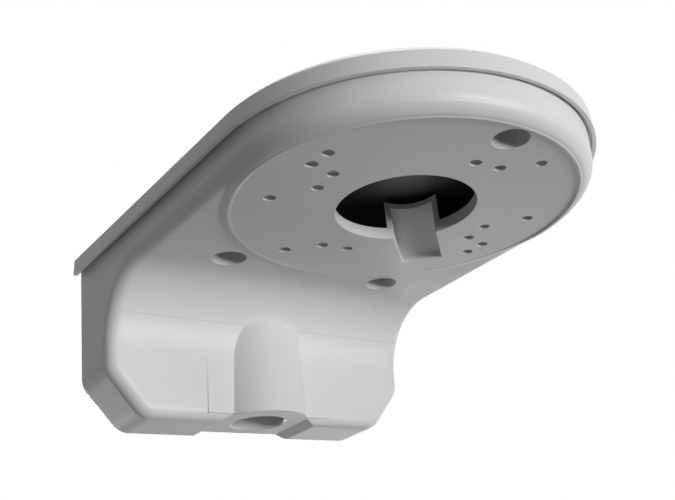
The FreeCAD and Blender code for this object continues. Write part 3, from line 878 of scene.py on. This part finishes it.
@dataclass
class FaceRing:
    """The low bead round the camera face, and the soft slope outside it that runs into the arm.

    Attributes:
        finish: the casting's coat.
        reach: wall plane to the arm's axis, in mm.
        bead: inner and outer radius of the bead, in mm.
        bead_shift: how much further out it lies at the arm's tip, in mm.
        bead_height: of the bead under the face, in mm.
        bead_more: how much higher it is at the arm's tip, in mm.
        flank: width of each side of the bead, in mm.
        swell: height of the wide swelling under the bead at the arm's tip, in mm.
        swell_width: width of that swelling's outer side, in mm.
        slope_foot: outer radius of the slope where the arm's underside is flat, in mm.
        slope_more: how much further it goes round the arm's end, in mm.
        slope_bend: how much more it curves there.
        tail: how far the ring goes on inside the casting, in mm.
        tail_tilt: how fast it sinks there.
        proud: coat over the casting's own slope, in mm.
        wall: thickness, most of which is sunk in the casting, in mm.
        face_step: camera face to the arm's underside, in mm.
        arm_radius: of the arm's end, in mm.
        edge_round: rounding of the arm's lower edge, in mm.
        tip_starts: cosine of the angle from the arm's tip at which the tip's form begins.
        tip_full: cosine of the angle from the arm's tip at which it is complete.
        film_fade: power by which the coat thins out towards the slope's foot.
        around: points round the ring.
        along: points along its section.
    """

    finish: bpy.types.Material
    reach: float = 123.0
    bead: tuple[float, float] = (60.0, 61.4)
    bead_shift: float = 0.6
    bead_height: float = 0.06
    bead_more: float = 0.26
    flank: float = 0.7
    swell: float = 0.3
    swell_width: float = 3.0
    slope_foot: float = 63.9
    slope_more: float = 1.5
    slope_bend: float = 1.05
    tail: float = 0.8
    tail_tilt: float = 0.25
    proud: float = 0.03
    wall: float = 0.4
    face_step: float = 0.7
    arm_radius: float = 67.0
    edge_round: float = 4.5
    tip_starts: float = -0.35
    tip_full: float = 0.15
    film_fade: int = 4
    around: int = 240
    along: int = 36

    def underside(self, across: np.ndarray, forward: np.ndarray) -> np.ndarray:
        """Height of the arm's underside.

        The underside is flat up to the rounding of its edge, a quarter circle of radius r. A point
        lies sqrt(x^2 + min(forward, 0)^2) from the arm's middle line, as the arm's end is a half
        circle with straight sides. At w past the rounding's start it has risen r - sqrt(r^2 - w^2).

        Args:
            across: x of each point, in mm.
            forward: y of each point from the arm's axis, in mm.

        Returns:
            The heights, in mm.
        """
        over = np.hypot(across, np.minimum(forward, 0)) - (self.arm_radius - self.edge_round)
        depth = np.sqrt(self.edge_round**2 - np.clip(over, 0, self.edge_round) ** 2)
        return self.face_step + self.edge_round - depth

    def build(self) -> bpy.types.Object:
        """Builds the ring and returns it.

        At angle a from the arm's tip the section runs out along the radius. Outside the bead, with
        t from 0 to 1 across the slope, its height is the underside's at the slope's foot times t to
        a power, less the coat, which thins out by 1 - t^4. The power and the slope's width grow
        towards the arm's tip, where the slope ends in the rounding of the arm's edge. Past the foot
        the section follows the underside and sinks into the casting.

        From that the bead hangs down, with a smooth step at each side. Towards the tip it grows and
        lies further out, and a swelling is added to it that has the same inner side and a wider
        outer one. The section closes inside the casting, a wall's thickness above all this.
        """
        angle = np.linspace(0, 2 * np.pi, self.around, endpoint=False)[:, None]
        begun = (np.cos(angle) - self.tip_starts) / (self.tip_full - self.tip_starts)
        tip = smooth_step(begun)
        foot = self.slope_foot + self.slope_more * tip
        inner, outer = (edge + self.bead_shift * tip for edge in self.bead)
        radius = inner + (foot + self.tail - inner) * np.linspace(0, 1, self.along)[None, :]
        rise = smooth_step((radius - inner) / self.flank)
        fall = 1 - smooth_step((radius - outer + self.flank / 2) / self.flank)
        share = np.clip((radius - outer) / (foot - outer), 0, 1)
        end = self.underside(foot * np.sin(angle), -foot * np.cos(angle))
        rising = end * share ** (1 + self.slope_bend * tip)
        casting = self.underside(radius * np.sin(angle), -radius * np.cos(angle))
        slope = np.where(radius < foot, rising, casting + self.tail_tilt * (radius - foot))
        thinned = 1 - share**self.film_fade
        film = self.proud * np.clip((radius - outer) / self.flank, 0, 1) * thinned
        bead = (self.bead_height + self.bead_more * tip) * rise * fall
        wide_fall = 1 - smooth_step((radius - outer + self.flank / 2) / self.swell_width)
        height = slope - film - bead - self.swell * tip * rise * wide_fall
        section = np.concatenate((radius, radius[:, ::-1]), axis=1)
        level = np.concatenate((height, height[:, ::-1] + self.wall), axis=1)
        points = np.stack(
            (section * np.sin(angle), -self.reach - section * np.cos(angle), level), axis=-1
        )
        faces = grid_faces(self.around, 2 * self.along)
        return make_piece("face_ring", points.reshape(-1, 3) * MM, faces, self.finish)


@dataclass
class CadFinishes:
    """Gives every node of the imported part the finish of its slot.

    Attributes:
        finishes: the finish for each slot.
        own: the finish of each node that has one of its own.
    """

    finishes: Mapping[Slot, bpy.types.Material]
    own: Mapping[str, bpy.types.Material]

    def dress(self) -> None:
        """Puts each slot's finish on the nodes that the record gives that slot."""
        for part in frame["record"]["subparts"]:
            node = frame["nodes"][part["node"]]
            finish = self.own.get(part["node"], self.finishes[Slot(part["material_slot"])])
            for index in range(len(node.material_slots)):
                node.material_slots[index].material = finish
            LOG.info("%s: %s", part["node"], finish.name)


# ---------------------------------------------------------------- studio


@dataclass(frozen=True)
class Lamp:
    """One soft area lamp.

    Attributes:
        name: the lamp's name.
        place: where it stands, in metres.
        size: length of its side, in metres.
        power: in watts.
        spread: angle over which it shines, in degrees.
    """

    name: str
    place: tuple[float, float, float]
    size: float
    power: float
    spread: float = 180.0


@dataclass
class Studio:
    """White floor, white surroundings and soft lamps.

    Attributes:
        paper: finish of the floor.
        lamps: the lamps.
        aim: the point that they face, in metres.
        floor_height: of the floor, in metres.
        floor_size: length of its side, in metres.
    """

    paper: bpy.types.Material
    lamps: Sequence[Lamp] = (
        Lamp("key_front", (0.0, -1.39, -0.06), 0.15, 4.5),
        Lamp("key_middle", (0.27, -1.35, -0.19), 0.15, 3.6),
        Lamp("key_low_right", (0.53, -1.23, -0.32), 0.15, 3.5),
        Lamp("fill_high_left", (-0.57, -0.91, 0.83), 0.5, 1.6),
        Lamp("fill_left", (-1.09, -0.72, 0.33), 0.5, 0.4),
        Lamp("fill_right", (1.27, -0.09, -0.28), 0.7, 1.2),
        Lamp("back_low_right", (0.9, 0.83, -0.28), 0.7, 1.6),
        Lamp("back_low_left", (-0.64, 1.01, -0.28), 0.7, 0.6),
        Lamp("below", (0.0, -0.1, -1.2), 0.6, 0.25),
        Lamp("top", (0.0, -0.12, 1.3), 0.2, 0.45, 40.0),
        Lamp("back", (0.0, 1.25, -0.15), 0.2, 0.5, 40.0),
    )
    aim: tuple[float, float, float] = (0.0, -0.09, -0.01)
    floor_height: float = -1.5
    floor_size: float = 6.0

    def build(self) -> None:
        """Builds the floor, the surroundings and the lamps."""
        half, height = self.floor_size / 2, self.floor_height
        corners = [(-half, -half), (half, -half), (half, half), (-half, half)]
        mesh = bpy.data.meshes.new("floor")
        mesh.from_pydata([(x, y, height) for x, y in corners], [], [(0, 1, 2, 3)])
        mesh.materials.append(self.paper)
        floor = bpy.data.objects.new("floor", mesh)
        bpy.context.scene.collection.objects.link(floor)
        for lamp in self.lamps:
            self._hang(lamp)
        self._surround()

    def _hang(self, lamp: Lamp) -> None:
        """Hangs one lamp so that it faces the aim.

        Args:
            lamp: the lamp.
        """
        light = bpy.data.lights.new(lamp.name, "AREA")
        light.size = lamp.size
        light.energy = lamp.power
        light.spread = float(np.radians(lamp.spread))
        holder = bpy.data.objects.new(lamp.name, light)
        holder.location = lamp.place
        holder.visible_camera = False
        holder.rotation_mode = "QUATERNION"
        ahead = Vector(self.aim) - Vector(lamp.place)
        holder.rotation_quaternion = ahead.to_track_quat("-Z", "Y")
        bpy.context.scene.collection.objects.link(holder)

    def _surround(self) -> None:
        """Builds surroundings that show white and put no light on the object."""
        world = bpy.data.worlds.new("surroundings")
        world.use_nodes = True
        tree = world.node_tree
        tree.nodes.clear()
        shine = add_node(
            tree,
            "ShaderNodeBackground",
            inputs={"Color": linear(WHITE), "Strength": background_rays(tree)},
        )
        add_node(tree, "ShaderNodeOutputWorld", inputs={"Surface": shine.outputs[0]})
        bpy.context.scene.world = world


@dataclass
class PhotoCamera:
    """The camera, below and to the left of the arm, looking up.

    Attributes:
        focal: focal length in pixels.
        middle: pixel that the optical axis meets.
        yaw: from +Y towards +X, in degrees.
        pitch: upwards, in degrees.
        roll: about the optical axis, in degrees.
        place: in millimetres.
        sensor: width of the sensor, in millimetres.
        sight: nearest and furthest that it sees, in metres.
    """

    focal: float = 971.0
    middle: tuple[float, float] = (465.5, 241.3)
    yaw: float = 44.37
    pitch: float = 23.09
    roll: float = -8.76
    place: tuple[float, float, float] = (-201.6, -355.8, -146.7)
    sensor: float = 36.0
    sight: tuple[float, float] = (0.01, 20.0)

    def build(self) -> bpy.types.Object:
        """Builds the camera and returns it."""
        data = bpy.data.cameras.new("camera")
        data.sensor_width = self.sensor
        data.lens = self.focal * self.sensor / PHOTO_WIDTH
        data.shift_x = (PHOTO_WIDTH / 2 - self.middle[0]) / PHOTO_WIDTH
        data.shift_y = (self.middle[1] - PHOTO_HEIGHT / 2) / PHOTO_WIDTH
        data.clip_start, data.clip_end = self.sight
        yaw, pitch, roll = np.radians((self.yaw, self.pitch, self.roll))
        ahead = np.array([np.sin(yaw) * np.cos(pitch), np.cos(yaw) * np.cos(pitch), np.sin(pitch)])
        level = np.array([np.cos(yaw), -np.sin(yaw), 0.0])
        upright = np.cross(level, ahead)
        right = np.cos(roll) * level + np.sin(roll) * upright
        up = -np.sin(roll) * level + np.cos(roll) * upright
        camera = bpy.data.objects.new("camera", data)
        turn = Matrix(np.stack((right, up, -ahead), axis=1).tolist()).to_4x4()
        camera.matrix_world = Matrix.Translation(Vector(self.place) * MM) @ turn
        bpy.context.scene.collection.objects.link(camera)
        bpy.context.scene.camera = camera
        return camera


def main() -> None:
    """Dresses the part, then sets the studio and the camera."""
    logging.basicConfig(level=logging.INFO, format="%(name)s: %(message)s")
    bpy.context.scene.view_settings.view_transform = "Standard"
    cut_metal = CutAluminium().material()
    coat = PowderCoat().material()
    CadFinishes(
        finishes={
            Slot.COAT: coat,
            Slot.RUBBER: SiliconeRubber().material(),
            Slot.STEEL: TurnedSteel().material(),
        },
        own={"top_cover": CoverCoat().material(), "housing": HousingCoat().material()},
    ).dress()
    ConduitThread(cut_metal).build()
    CameraThreads(cut_metal).build()
    FaceRing(coat).build()
    Studio(StudioPaper().material()).build()
    PhotoCamera().build()


if __name__ == "__main__":
    main()
